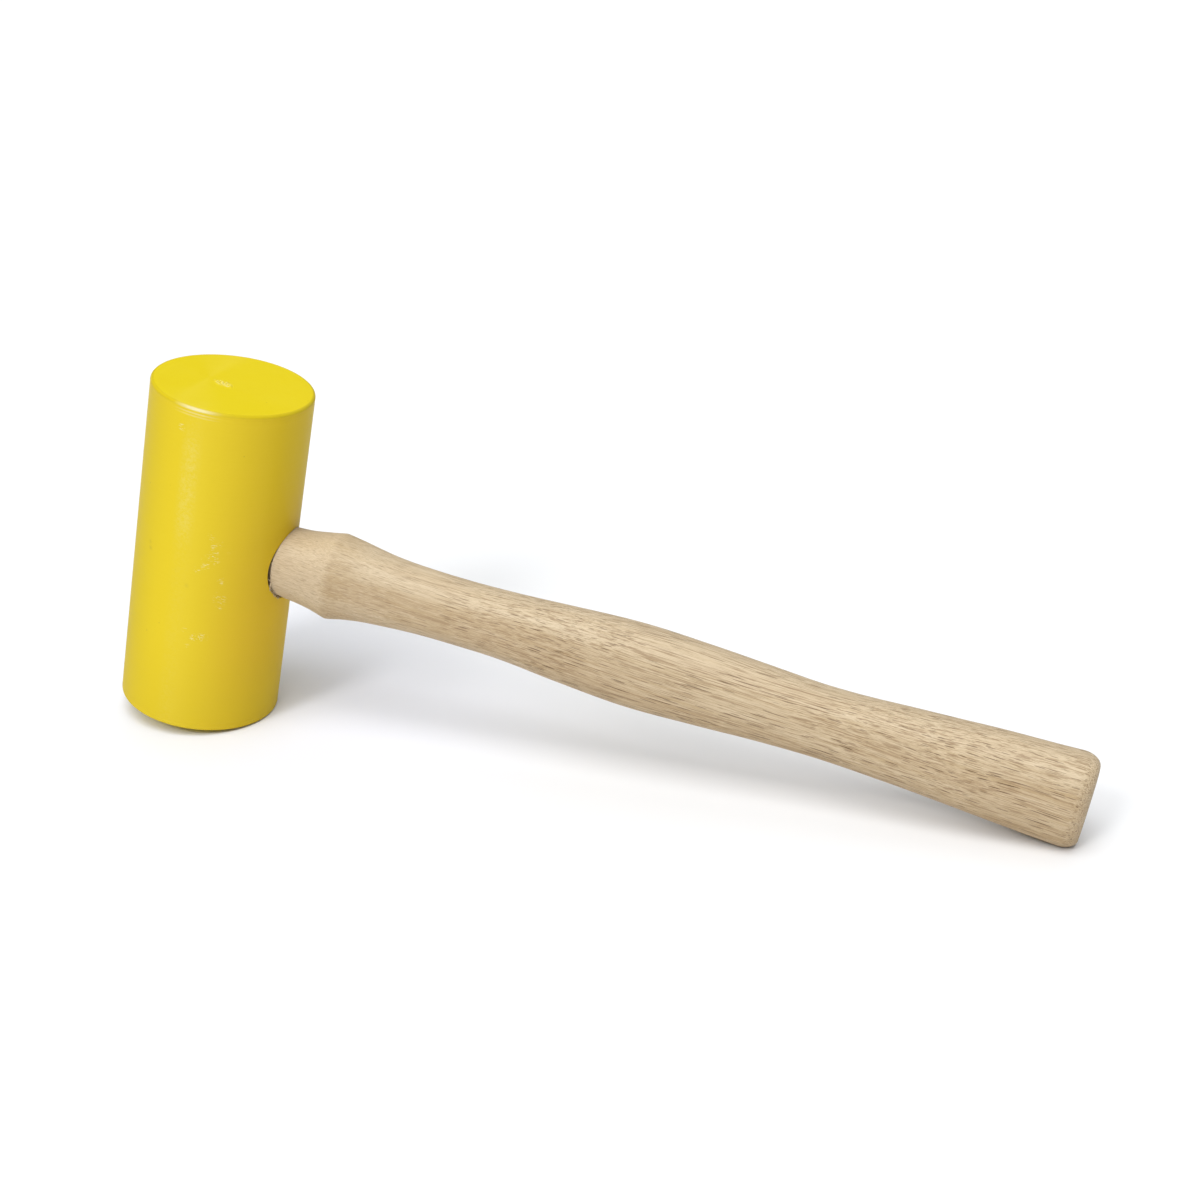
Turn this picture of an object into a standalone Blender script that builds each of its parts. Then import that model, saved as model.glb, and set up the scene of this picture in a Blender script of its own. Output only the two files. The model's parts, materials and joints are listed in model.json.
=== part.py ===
"""Mallet: a turned plastic head on a wooden hammer handle, wedged in an eye through the head.

The tool is modelled in its own axes, in metres. X runs out along the handle from the axis of the head, Z runs
up the axis of the head, and Y runs across both. An empty then lays the finished tool on the ground, where it
rests on the lower rim of its head and the lower edge of its butt. The origin is on the ground, under the
middle of the tool's box.
"""
import math

import bmesh
import bpy
from mathutils import Matrix, Vector

# Head: a solid cylinder with both rims rounded.
HEAD_RADIUS = 0.03175
HEAD_LENGTH = 0.1374
HEAD_SIDES = 96
RIM_RADIUS = 0.0013
RIM_STEPS = 3

# Eye: an oval hole through the head, a little above the middle of its length.
EYE_HALF_HEIGHT = 0.0148
EYE_HALF_WIDTH = 0.0139
EYE_RISE = 0.0009
EYE_SIDES = 56

# Handle: distance from the head's axis, height above and below the X axis, and half the thickness.
HANDLE_STATIONS = (
    (0.0310, 0.0154, 0.0128, 0.0133),
    (0.0400, 0.0161, 0.0139, 0.0139),
    (0.0460, 0.0174, 0.0148, 0.0143),
    (0.0510, 0.0183, 0.0160, 0.0145),
    (0.0560, 0.0182, 0.0152, 0.0141),
    (0.0640, 0.0170, 0.0136, 0.0132),
    (0.0780, 0.0150, 0.0125, 0.0120),
    (0.0980, 0.0141, 0.0117, 0.0114),
    (0.1220, 0.0145, 0.0118, 0.0117),
    (0.1480, 0.0161, 0.0142, 0.0124),
    (0.1780, 0.0176, 0.0164, 0.0128),
    (0.2060, 0.0166, 0.0154, 0.0124),
    (0.2280, 0.0152, 0.0143, 0.0119),
    (0.2520, 0.0139, 0.0142, 0.0118),
    (0.2840, 0.0151, 0.0158, 0.0124),
    (0.3180, 0.0168, 0.0185, 0.0130),
    (0.3552, 0.0179, 0.0209, 0.0130),
)
SQUARENESS = 2.4  # 2 is an ellipse, and more is squarer
TENON_SQUARENESS = 2.2
SECTION_POINTS = 40
STATION_PITCH = 0.007
BUTT_ROUNDING = (0.0040, 0.0034, 0.0068)  # at the top, at the bottom and on the sides
BUTT_ROUNDING_DEPTH = 0.0070
BUTT_ROUNDING_STEPS = 6

# Tenon: the handle's end in the eye. It is trimmed just below the head's far side.
TENON_SUNK = 0.0004

# Kerf and wedges: the kerf is sawn along the tenon, and the wooden wedge spreads it sideways. Two steel
# wedges cross the wooden one.
GAP = 0.0003
KERF_DEPTH = 0.041
WOOD_WEDGE_LENGTH = 0.036
WOOD_WEDGE_HEIGHT = 0.0256
WOOD_WEDGE_THICK = (0.0042, 0.0014)  # at its outer and inner ends
STEEL_WEDGE_LENGTH = 0.020
STEEL_WEDGE_WIDTH = 0.0150
STEEL_WEDGE_THICK = (0.0026, 0.0008)
STEEL_WEDGE_SPREAD = 0.0066  # from the middle of the eye
STEEL_WEDGE_SUNK = 0.0012
WEDGE_CORNER = 0.0003

# Colours (linear), roughness and metallic value.
FINISHES = {
    "head": ((0.86, 0.66, 0.035, 1.0), 0.38, 0.0),
    "handle": ((0.58, 0.43, 0.27, 1.0), 0.62, 0.0),
    "wooden_wedge": ((0.38, 0.25, 0.14, 1.0), 0.70, 0.0),
    "steel_wedge_upper": ((0.46, 0.46, 0.47, 1.0), 0.42, 1.0),
    "steel_wedge_lower": ((0.46, 0.46, 0.47, 1.0), 0.42, 1.0),
}


def clear_scene():
    """Start from an empty scene."""
    for old in list(bpy.context.scene.objects):
        bpy.data.objects.remove(old, do_unlink=True)


def new_collection(name):
    """Return a new collection, linked to the scene."""
    collection = bpy.data.collections.new(name)
    bpy.context.scene.collection.children.link(collection)
    return collection


def new_material(name):
    """Return a Principled material with the finish listed for the name."""
    colour, roughness, metallic = FINISHES[name]
    material = bpy.data.materials.new(name)
    material.use_nodes = True
    shader = material.node_tree.nodes["Principled BSDF"]
    shader.inputs["Base Color"].default_value = colour
    shader.inputs["Roughness"].default_value = roughness
    shader.inputs["Metallic"].default_value = metallic
    return material


def add_object(name, shape, collection, parent):
    """Turn a bmesh into an object in the collection, carried by the parent empty."""
    bmesh.ops.recalc_face_normals(shape, faces=shape.faces)
    mesh = bpy.data.meshes.new(name)
    shape.to_mesh(mesh)
    shape.free()
    piece = bpy.data.objects.new(name, mesh)
    collection.objects.link(piece)
    piece.parent = parent
    return piece


def add_part(name, shape, collection, parent):
    """Add a visible part with its material, shaded smooth except at its edges."""
    part = add_object(name, shape, collection, parent)
    part.data.materials.append(new_material(name))
    part.data.shade_smooth()
    part.data.set_sharp_from_angle(angle=math.radians(35))
    return part


def add_cutter(name, shape, collection, parent):
    """Add a hidden shape that other parts are cut with."""
    cutter = add_object(name, shape, collection, parent)
    cutter.hide_render = True
    cutter.display_type = "WIRE"
    return cutter


def cut(part, cutter):
    """Cut the part with a Boolean modifier."""
    boolean = part.modifiers.new(cutter.name, "BOOLEAN")
    boolean.operation = "DIFFERENCE"
    boolean.solver = "EXACT"
    boolean.object = cutter


def round_edges(part, width, steps, angle=math.radians(30)):
    """Round the part's sharp edges with a Bevel modifier."""
    bevel = part.modifiers.new("rounded_edges", "BEVEL")
    bevel.width = width
    bevel.segments = steps
    bevel.limit_method = "ANGLE"
    bevel.angle_limit = angle


def cylinder(radius, length, sides):
    """Return a cylinder along Z, centred on the origin."""
    shape = bmesh.new()
    bmesh.ops.create_cone(
        shape, cap_ends=True, segments=sides, radius1=radius, radius2=radius, depth=length
    )
    return shape


def oval_bore(half_width, half_height, length):
    """Return an oval cylinder along X, with its middle in the middle of the eye."""
    shape = cylinder(1.0, length, EYE_SIDES)
    upright = Matrix.Rotation(math.radians(90), 4, "Y")
    oval = Matrix.Diagonal((1.0, half_width, half_height, 1.0))
    bmesh.ops.transform(shape, matrix=Matrix.Translation((0, 0, EYE_RISE)) @ oval @ upright, verts=shape.verts)
    return shape


def tapered_block(outer_x, length, width, height, taper, across):
    """Return a block from outer_x towards the handle. taper gives its outer and inner size along the axis across."""
    shape = bmesh.new()
    bmesh.ops.create_cube(shape, size=1.0)
    for corner in shape.verts:
        thickness = taper[0] if corner.co.x < 0 else taper[1]
        corner.co.x = outer_x + (corner.co.x + 0.5) * length
        corner.co.y *= thickness if across == "Y" else width
        corner.co.z *= thickness if across == "Z" else height
    return shape


def smooth_value(stations, column, x):
    """Read one column of the stations at x, on a smooth curve through them all."""
    last = len(stations) - 1
    left = max(i for i in range(last) if i == 0 or stations[i][0] <= x)
    right = left + 1
    span = stations[right][0] - stations[left][0]

    def slope(i):
        before, after = max(i - 1, 0), min(i + 1, last)
        rise = stations[after][column] - stations[before][column]
        return rise / (stations[after][0] - stations[before][0])

    t = (x - stations[left][0]) / span
    return (
        (2 * t**3 - 3 * t**2 + 1) * stations[left][column]
        + (t**3 - 2 * t**2 + t) * span * slope(left)
        + (3 * t**2 - 2 * t**3) * stations[right][column]
        + (t**3 - t**2) * span * slope(right)
    )


def handle_size(x):
    """Return the handle's height above the X axis, height below it and half thickness at x."""
    return [smooth_value(HANDLE_STATIONS, column, x) for column in (1, 2, 3)]


def handle_sections():
    """List the handle's sections from the tenon to the butt, each as x, above, below, half thickness, squareness."""
    neck = HANDLE_STATIONS[0][0]
    end = HANDLE_STATIONS[-1][0]
    rounding_start = end - BUTT_ROUNDING_DEPTH
    sections = [(x, *handle_size(neck), TENON_SQUARENESS) for x in (-HEAD_RADIUS, 0.0)]
    steps = round((rounding_start - neck) / STATION_PITCH)
    for step in range(steps + 1):
        x = neck + (rounding_start - neck) * step / steps
        blend = min(1.0, step / 4)
        squareness = TENON_SQUARENESS + (SQUARENESS - TENON_SQUARENESS) * blend
        sections.append((x, *handle_size(x), squareness))
    for step in range(1, BUTT_ROUNDING_STEPS + 1):
        turn = math.pi / 2 * step / BUTT_ROUNDING_STEPS
        x = rounding_start + BUTT_ROUNDING_DEPTH * math.sin(turn)
        size = [full - cutback * (1 - math.cos(turn)) for full, cutback in zip(handle_size(x), BUTT_ROUNDING)]
        sections.append((x, *size, SQUARENESS))
    return sections


def section_point(section, turn):
    """Return the point of a section's outline at an angle from +Y."""
    x, above, below, half_thickness, squareness = section
    power = 2 / squareness
    y = half_thickness * math.copysign(abs(math.cos(turn)) ** power, math.cos(turn))
    reach = above if math.sin(turn) > 0 else below
    z = reach * math.copysign(abs(math.sin(turn)) ** power, math.sin(turn))
    return Vector((x, y, z))


def end_cap(shape, ring):
    """Close an end with strips that run from the top of the ring to the bottom."""
    count = len(ring)
    for step in range(1, count // 2 - 1):
        shape.faces.new((ring[step], ring[step + 1], ring[count - step - 1], ring[count - step]))
    half = count // 2
    shape.faces.new((ring[0], ring[1], ring[count - 1]))
    shape.faces.new((ring[half], ring[half - 1], ring[half + 1]))


def handle_shape():
    """Loft the handle through its sections. The tenon's end follows the round of the head."""
    shape = bmesh.new()
    rings = []
    for section in handle_sections():
        turns = [math.tau * k / SECTION_POINTS for k in range(SECTION_POINTS)]
        rings.append([shape.verts.new(section_point(section, turn)) for turn in turns])
    for vertex in rings[0]:
        vertex.co.x = -math.sqrt((HEAD_RADIUS - TENON_SUNK) ** 2 - vertex.co.y**2)
    for near, far in zip(rings, rings[1:]):
        for k in range(SECTION_POINTS):
            after = (k + 1) % SECTION_POINTS
            shape.faces.new((near[k], far[k], far[after], near[after]))
    end_cap(shape, rings[0])
    end_cap(shape, rings[-1])
    return shape


def wedge_taper(thick, length, new_length, spare):
    """Carry a wedge's taper on to a new length, with spare room on both faces."""
    per_metre = (thick[1] - thick[0]) / length
    return thick[0] + 2 * spare, thick[0] + per_metre * new_length + 2 * spare


def wood_wedge_shape():
    """Return the wooden wedge, standing on edge in the middle of the tenon."""
    outer = TENON_SUNK - HEAD_RADIUS
    return tapered_block(outer, WOOD_WEDGE_LENGTH, 0, WOOD_WEDGE_HEIGHT, WOOD_WEDGE_THICK, "Y")


def kerf_shape():
    """Return the sawn kerf, open at the tenon's end, top and bottom."""
    over = 0.004
    outer = -HEAD_RADIUS - over
    depth = KERF_DEPTH + over
    flare = WOOD_WEDGE_THICK[0] + (WOOD_WEDGE_THICK[0] - WOOD_WEDGE_THICK[1]) * over / WOOD_WEDGE_LENGTH
    bottom = WOOD_WEDGE_THICK[1]
    taper = wedge_taper((flare, bottom), WOOD_WEDGE_LENGTH + over, depth, GAP)
    return tapered_block(outer, depth, 0, 4 * EYE_HALF_HEIGHT, taper, "Y")


def steel_wedge_shape(spare=0.0, over=0.0):
    """Return a steel wedge lying flat, or with spare room around it the pocket that it was driven into."""
    length = STEEL_WEDGE_LENGTH + over + spare
    thick = wedge_taper(STEEL_WEDGE_THICK, STEEL_WEDGE_LENGTH, STEEL_WEDGE_LENGTH + spare, spare)
    outer = -HEAD_RADIUS + STEEL_WEDGE_SUNK - over
    return tapered_block(outer, length, STEEL_WEDGE_WIDTH + 2 * spare, 0, thick, "Z")


def height_over_ground(x, z, tilt):
    """Return how high a point of the X-Z plane stands once the tool is tilted, its handle down."""
    return z * math.cos(tilt) - x * math.sin(tilt)


def resting_tilt():
    """Find the tilt at which the head's lower rim and the butt's lower edge touch the ground together."""
    sections = handle_sections()
    low, high = 0.0, math.radians(30)
    for _ in range(40):
        tilt = (low + high) / 2
        rim = height_over_ground(HEAD_RADIUS - RIM_RADIUS, RIM_RADIUS - HEAD_LENGTH / 2, tilt) - RIM_RADIUS
        butt = min(height_over_ground(x, -below, tilt) for x, _, below, _, _ in sections)
        if butt > rim:
            low = tilt
        else:
            high = tilt
    return tilt


def set_on_ground(stand, parts):
    """Move the empty so that the parts' box stands on the ground, centred on the origin."""
    bpy.context.view_layer.update()
    depsgraph = bpy.context.evaluated_depsgraph_get()
    corners = []
    for part in parts:
        solid = part.evaluated_get(depsgraph)
        corners += [solid.matrix_world @ vertex.co for vertex in solid.data.vertices]
    low = Vector([min(corner[axis] for corner in corners) for axis in range(3)])
    high = Vector([max(corner[axis] for corner in corners) for axis in range(3)])
    stand.location -= Vector(((low.x + high.x) / 2, (low.y + high.y) / 2, low.z))
    bpy.context.view_layer.update()


def main():
    clear_scene()
    parts = new_collection("mallet")
    cutters = new_collection("cutters")

    stand = bpy.data.objects.new("stand", None)
    parts.objects.link(stand)
    stand.rotation_euler.y = resting_tilt()

    head = add_part("head", cylinder(HEAD_RADIUS, HEAD_LENGTH, HEAD_SIDES), parts, stand)
    eye = add_cutter("eye", oval_bore(EYE_HALF_WIDTH, EYE_HALF_HEIGHT, 4 * HEAD_RADIUS), cutters, stand)
    round_edges(head, RIM_RADIUS, RIM_STEPS)
    cut(head, eye)

    handle = add_part("handle", handle_shape(), parts, stand)
    cut(handle, add_cutter("kerf", kerf_shape(), cutters, stand))

    wood_wedge = add_part("wooden_wedge", wood_wedge_shape(), parts, stand)
    middle = (HANDLE_STATIONS[0][1] - HANDLE_STATIONS[0][2]) / 2
    wood_wedge.location.z = middle
    round_edges(wood_wedge, WEDGE_CORNER, 1)

    steel_wedges = []
    for side, place in (("upper", 1), ("lower", -1)):
        height = middle + place * STEEL_WEDGE_SPREAD
        pocket = add_cutter(f"pocket_{side}", steel_wedge_shape(GAP, 0.004), cutters, stand)
        pocket.location.z = height
        cut(handle, pocket)
        cut(wood_wedge, pocket)
        steel_wedge = add_part(f"steel_wedge_{side}", steel_wedge_shape(), parts, stand)
        steel_wedge.location.z = height
        round_edges(steel_wedge, WEDGE_CORNER / 2, 1)
        steel_wedges.append(steel_wedge)

    set_on_ground(stand, [head, handle, wood_wedge, *steel_wedges])


main()
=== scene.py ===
"""Looks of the mallet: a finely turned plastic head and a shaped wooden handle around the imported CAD."""
import json
import math
import random

import bmesh
import bpy
from mathutils import Matrix, Vector, noise


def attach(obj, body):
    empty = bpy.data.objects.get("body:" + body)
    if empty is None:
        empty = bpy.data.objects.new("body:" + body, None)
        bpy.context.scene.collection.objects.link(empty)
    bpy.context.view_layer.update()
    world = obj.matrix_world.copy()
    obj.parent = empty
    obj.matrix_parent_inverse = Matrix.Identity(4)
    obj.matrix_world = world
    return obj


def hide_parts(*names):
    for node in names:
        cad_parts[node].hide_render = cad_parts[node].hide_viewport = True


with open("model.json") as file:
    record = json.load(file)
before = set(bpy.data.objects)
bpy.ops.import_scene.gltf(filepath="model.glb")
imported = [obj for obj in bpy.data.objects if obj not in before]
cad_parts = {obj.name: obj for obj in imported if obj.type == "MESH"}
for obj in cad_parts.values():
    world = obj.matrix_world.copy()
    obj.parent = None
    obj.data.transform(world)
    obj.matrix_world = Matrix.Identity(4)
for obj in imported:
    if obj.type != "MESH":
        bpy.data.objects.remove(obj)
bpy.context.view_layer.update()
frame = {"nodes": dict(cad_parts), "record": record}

MM = 0.001

# Camera: where it looks on the tool's middle plane, and from where.
CAMERA_AIM = Vector((0.0041, 0.0, 0.0718))
CAMERA_AZIMUTH = 15.47
CAMERA_ELEVATION = 23.63
CAMERA_ROLL = 1.860
CAMERA_DISTANCE = 0.8424
CAMERA_LENS = 66.02

# Lights from far away: name, azimuth, elevation and width in degrees, strength.
SUNS = (
    ("key", -18, 38, 14, 0.90),
    ("left", -70, 42, 60, 0.18),
    ("front", 15, 56, 60, 0.55),
    ("ceiling", -5, 66, 44, 1.50),
    ("back", 180, 58, 60, 0.62),
)
# The room's own light: strength at the horizon, strength from this height of the view upwards, and colour.
ROOM_DIM, ROOM_BRIGHT = 0.10, 0.28
ROOM_FULL_AT = 0.6
ROOM_COLOUR = (0.93, 0.97, 1.0)

# Head: mesh steps around it, down its side, round its rims and near them, and across its faces.
HEAD_SEGMENTS = 300
SIDE_PITCH = 0.8 * MM
RIM_ARC_STEPS = 8
RIM_PITCH = 0.25 * MM
FINE_DEPTH = 5.0 * MM
FACE_START = 0.2 * MM
FINE_FACE_RADIUS, FINE_FACE_PITCH = 10 * MM, 0.4 * MM
FACE_PITCH = 2.0 * MM
# What the lathe left: waves down the side, two grooves near each face, and rings and a torn nub on the faces.
TURNING_WAVE = 0.012 * MM
TURNING_WAVE_LENGTH = 5 * MM
GROOVE_PLACES = (2.2 * MM, 3.3 * MM)
GROOVE_DEPTH = 0.05 * MM
GROOVE_HALF_WIDTH = 0.3 * MM
FACE_WAVE = 0.01 * MM
FACE_WAVE_LENGTH = 1.6 * MM
NUB_MIDDLE = (-3.4 * MM, -2.2 * MM)
NUB_HEIGHT = 0.55 * MM
NUB_HALF_LENGTH = 4.2 * MM
NUB_HALF_WIDTH = 2.2 * MM
NUB_TURN = math.radians(-20)
NUB_ROUGHNESS = 0.55 * MM
# Scuffs on the side: angle around the head from the handle (degrees), height (mm) and strength.
SCUFFS = (
    (-71, 18, 0.8), (-65, 15, 0.7), (-67, 11, 1.0), (-70, 9, 0.9), (-73, 5, 1.0), (-79, 2.5, 0.8),
    (-61, -1, 0.9), (-69, 14, 0.6), (-75, 8, 0.5), (-66, 7, 0.6), (-58, 12, 0.4), (-64, -7, 0.5),
    (-60, -12, 0.8), (-73, -27, 0.9), (-59, -9, 1.0), (-63, -10, 0.6), (-69, -26, 1.0), (-76, -27, 0.9),
    (-83, -24, 0.6), (-80, -31, 0.5), (-88, 33, 0.6), (-91, 26, 0.4), (-90, 45, 0.6), (-87, 50, 0.4),
    (-90, 20, 0.4),
)
# More scuffs at random: how many, and over which angles, heights and strengths.
LOOSE_SCUFFS = 16
LOOSE_ANGLES, LOOSE_HEIGHTS, LOOSE_STRENGTHS = (20, 260), (-55, 60), (0.4, 1.0)
SCUFF_REACH = 1.7 * MM
# Small dirty spots, written like the scuffs.
SPOTS = (
    (-120, 7, 0.7), (-119, 4.5, 1.0), (7, 62.8, 1.0), (-85, -5, 0.5), (60, 20, 0.8), (170, -40, 0.8),
)
SPOT_REACH = 0.7 * MM

# Handle: mesh steps around it and along it, finer where it leaves the head.
SECTION_POINTS = 160
RING_PITCH = 1.0 * MM
TENON_PITCH = 0.8 * MM
FINE_FROM, FINE_PITCH = 26 * MM, 0.2 * MM
# Its section is a squarish oval, 2 for a plain one, and a little plainer in the tenon.
SQUARENESS = 2.4
TENON_SQUARENESS = 2.2
SQUARED_WITHIN = 28 * MM
# The tenon's straight part starts this far inside the head's far side, and its end is rounded to that side.
TENON_START = 3 * MM
# The CAD handle's last rings, which round its butt, and the fine ones that replace them.
BUTT_RINGS = 6
BUTT_ARC_STEPS = 12
END_SHRINKS = (0.15, 0.35, 0.55, 0.75, 0.9)
# Room around each wedge, how far its pocket is cut past its outer end, and how far the kerf goes on inwards.
GAP = 0.3 * MM
OVERCUT = 5 * MM
KERF_DEEPER = 5 * MM
# The low ridge around the shoulder.
RIDGE_HEIGHT = 0.32 * MM
RIDGE_REACH = 2.2 * MM
# Shavings in the gap: start (mm), heading, the side they bend to, length, bend (radians) and width.
SHAVINGS = (
    ((29.6, -12.2, -3.0), (-0.6, -1.0, 0.45), (0.2, -0.2, 1.0), 2.0, 0.6, 0.6),
    ((29.9, -12.6, -3.4), (-0.15, -0.1, -1.0), (0.1, 1.0, -0.3), 5.0, 0.7, 0.55),
)
SHAVING_THICKNESS = 0.22 * MM
CURL_STEPS = 14
CURL_TAPER = 0.6
# Torn fibres: how many, over which part of the neck (degrees), on which oval, and their size and bend.
LOOSE_FIBRES = 44
FIBRE_TURNS = (150, 235)
FIBRE_OVAL = (12.2 * MM, 14.0 * MM)
FIBRE_WIDTH, FIBRE_THICKNESS = 0.22 * MM, 0.14 * MM
FIBRE_BEND, FIBRE_BENDS_TO = 0.8, (1, 0, 0.2)
# The neck's lower camera side is planed back a little, and ends in a ragged edge over a gap in the eye.
PLANED_AT = -155
PLANED_DEPTH = 0.6 * MM
PLANED_REACH = 13 * MM
GAP_FROM, GAP_FULL = 10 * MM, 16 * MM
GAP_SHOWN = 0.42 * MM
GAP_DEPTH = 2.6 * MM
GAP_SPREAD = 1.8
GAP_EDGE = 0.4 * MM
RAGGED = 0.55 * MM
RAGS_AROUND = 14
# Slight waves that sanding left along and around the handle.
SANDING_WAVE = 0.22 * MM
SANDING_WAVE_LENGTH = 28 * MM
SANDING_WAVES_AROUND = 1.3
WAVES_REACH = 10 * MM

# Floor: half its side, two whites, and a bluer one within reach of the head, against the yellow light that
# the head throws on it.
FLOOR_HALF = 6.0
FLOOR_WHITES = (0.880, 0.884, 0.896), (0.886, 0.890, 0.900)
FLOOR_BY_HEAD = (0.862, 0.880, 0.955)
BY_HEAD_FROM, BY_HEAD_TO = 0.05, 0.18

# Plastic colours (linear). Beside the side's own yellow, the face, left, right, low and rim yellows are
# painted light and shade.
PLASTIC_FACE_LIT = (0.752, 0.596, 0.006)
PLASTIC_SIDE = (0.745, 0.560, 0.018)
PLASTIC_LEFT_SHADE = (0.625, 0.468, 0.006)
PLASTIC_RIGHT_SHADE = (0.705, 0.468, 0.025)
PLASTIC_LOW_SHADE = (0.640, 0.475, 0.016)
PLASTIC_DEEP = (0.690, 0.495, 0.012)
PLASTIC_RIM_SHADE = (0.560, 0.425, 0.010)
SCUFFED = (0.86, 0.80, 0.42)
# Painted highlights: a patchy shine down the side, and a bright arc on the upper rim.
SHINY = (0.84, 0.80, 0.36)
RIM_HIGHLIGHT = (0.90, 0.88, 0.66)
SOILED = (0.36, 0.25, 0.03)

# Wood: how far the grain leaves the handle's axis, across and up, for each step along it, and how it wanders.
GRAIN_RUNOUT = (0.020, -0.030)
GRAIN_WANDER = 2.5
# Sizes in the grain, from its broad figure to its grit: length and width (mm), detail and roughness.
GRAIN_SIZES = (
    (160, 5.0, 3.0, 0.55),
    (90, 1.5, 4.0, 0.6),
    (40, 0.50, 2.0, 0.6),
    (16, 0.34, 3.0, 0.65),
    (2.2, 0.24, 2.0, 0.6),
)
# Wood colours (linear). The gold also paints shade on the handle's lower side, and the light one paints light
# on its upper side.
WOOD_PALE = (0.575, 0.450, 0.290)
WOOD_TAN = (0.500, 0.370, 0.222)
WOOD_GOLD = (0.420, 0.290, 0.140)
WOOD_NECK = (0.600, 0.475, 0.315)
WOOD_BROWN = (0.260, 0.160, 0.075)
WOOD_LIGHT = (0.715, 0.595, 0.415)
WOOD_PORE = (0.125, 0.066, 0.027)

# Wedge colours (linear), and how far their edges are worn.
WEDGE_BROWN, WEDGE_TAN = (0.36, 0.215, 0.105), (0.50, 0.335, 0.19)
WEDGE_PORE = (0.11, 0.055, 0.025)
STEEL, STEEL_SCALE, STEEL_BRIGHT = (0.50, 0.50, 0.51), (0.30, 0.28, 0.265), (0.62, 0.62, 0.63)
WORN_EDGE = 0.25 * MM


# ------------------------------------------------------------ the tool's own axes, from the record's mounts

def mount(name):
    """Return a mount's place and direction."""
    found = next(m for m in frame["record"]["mounts"] if m["name"] == name)
    return Vector(found["pos_m"]), Vector(found["axis"]).normalized()


UPPER, UP = mount("upper_face")
LOWER, _ = mount("lower_face")
_, OUT = mount("butt_end")
ACROSS = UP.cross(OUT)
HEAD_MIDDLE = (UPPER + LOWER) / 2
TOOL = Matrix((OUT, ACROSS, UP)).transposed().to_4x4()
TOOL.translation = HEAD_MIDDLE
TOOL_INVERSE = TOOL.inverted()
HEAD_LENGTH = (UPPER - LOWER).length


def in_tool(node):
    """List a CAD node's points in the tool's axes: X out along the handle, Z up the head, Y across."""
    return [TOOL_INVERSE @ vertex.co for vertex in frame["nodes"][node].data.vertices]


HEAD_POINTS = in_tool("head")
HEAD_RADIUS = max(math.hypot(p.x, p.y) for p in HEAD_POINTS)
FACE_RADIUS = max(math.hypot(p.x, p.y) for p in HEAD_POINTS if p.z > HEAD_LENGTH / 2 - 0.05 * MM)
RIM = HEAD_RADIUS - FACE_RADIUS
EYE_POINTS = [p for p in HEAD_POINTS if abs(p.z) < HEAD_LENGTH / 4]
EYE_HALF_WIDTH = max(p.y for p in EYE_POINTS)
EYE_HALF_HEIGHT = (max(p.z for p in EYE_POINTS) - min(p.z for p in EYE_POINTS)) / 2
EYE_RISE = (max(p.z for p in EYE_POINTS) + min(p.z for p in EYE_POINTS)) / 2


# ------------------------------------------------------------ mesh helpers

def new_piece(name, shape, material, slot, *nodes):
    """Turn a bmesh in the tool's axes into a shaded piece of the object that stands for CAD nodes."""
    bmesh.ops.recalc_face_normals(shape, faces=shape.faces)
    shape.transform(TOOL)
    mesh = bpy.data.meshes.new(name)
    shape.to_mesh(mesh)
    shape.free()
    mesh.shade_smooth()
    mesh.set_sharp_from_angle(angle=math.radians(40))
    piece = bpy.data.objects.new(name, mesh)
    bpy.context.scene.collection.objects.link(piece)
    mesh.materials.append(material)
    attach(piece, "root")
    if nodes:
        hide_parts(*nodes)
    return piece


def cut_away(shape, cutters):
    """Return the bmesh with the cutters' shapes cut out of it. All are in the tool's axes."""
    body = temporary("body", shape)
    tools = [temporary("cutter", cutter) for cutter in cutters]
    for tool in tools:
        boolean = body.modifiers.new("cut", "BOOLEAN")
        boolean.object = tool
        boolean.solver = "EXACT"
    bpy.context.view_layer.update()
    evaluated = body.evaluated_get(bpy.context.evaluated_depsgraph_get())
    result = bmesh.new()
    result.from_mesh(evaluated.to_mesh())
    evaluated.to_mesh_clear()
    for extra in (body, *tools):
        bpy.data.objects.remove(extra)
    return result


def temporary(name, shape):
    """Turn a bmesh into a plain object for a moment."""
    bmesh.ops.recalc_face_normals(shape, faces=shape.faces)
    mesh = bpy.data.meshes.new(name)
    shape.to_mesh(mesh)
    shape.free()
    thing = bpy.data.objects.new(name, mesh)
    bpy.context.scene.collection.objects.link(thing)
    return thing


def bridge(shape, rings):
    """Join each ring of vertices to the next with quads."""
    for near, far in zip(rings, rings[1:]):
        count = len(near)
        for k in range(count):
            after = (k + 1) % count
            shape.faces.new((near[k], near[after], far[after], far[k]))


def fan(shape, ring, middle):
    """Close a ring with triangles to a middle point."""
    centre = shape.verts.new(middle)
    for k in range(len(ring)):
        shape.faces.new((ring[k], ring[(k + 1) % len(ring)], centre))


# ------------------------------------------------------------ head

def head_profile():
    """List the turned outline as radius and height, from the middle of the top face to that of the bottom."""
    half = HEAD_LENGTH / 2
    top = [(radius, half) for radius in face_radii()]
    for step in range(1, RIM_ARC_STEPS + 1):
        turn = math.pi / 2 * step / RIM_ARC_STEPS
        top.append((FACE_RADIUS + RIM * math.sin(turn), half - RIM * (1 - math.cos(turn))))
    depth = RIM + RIM_PITCH
    while depth < FINE_DEPTH:
        top.append((HEAD_RADIUS - turned_depth(half - depth, depth), half - depth))
        depth += RIM_PITCH
    steps = round((HEAD_LENGTH - 2 * depth) / SIDE_PITCH)
    heights = [half - depth - (HEAD_LENGTH - 2 * depth) * step / steps for step in range(steps + 1)]
    side = [(HEAD_RADIUS - turned_depth(height, half - abs(height)), height) for height in heights]
    bottom = [(radius, -height) for radius, height in reversed(top)]
    return top + side + bottom


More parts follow.
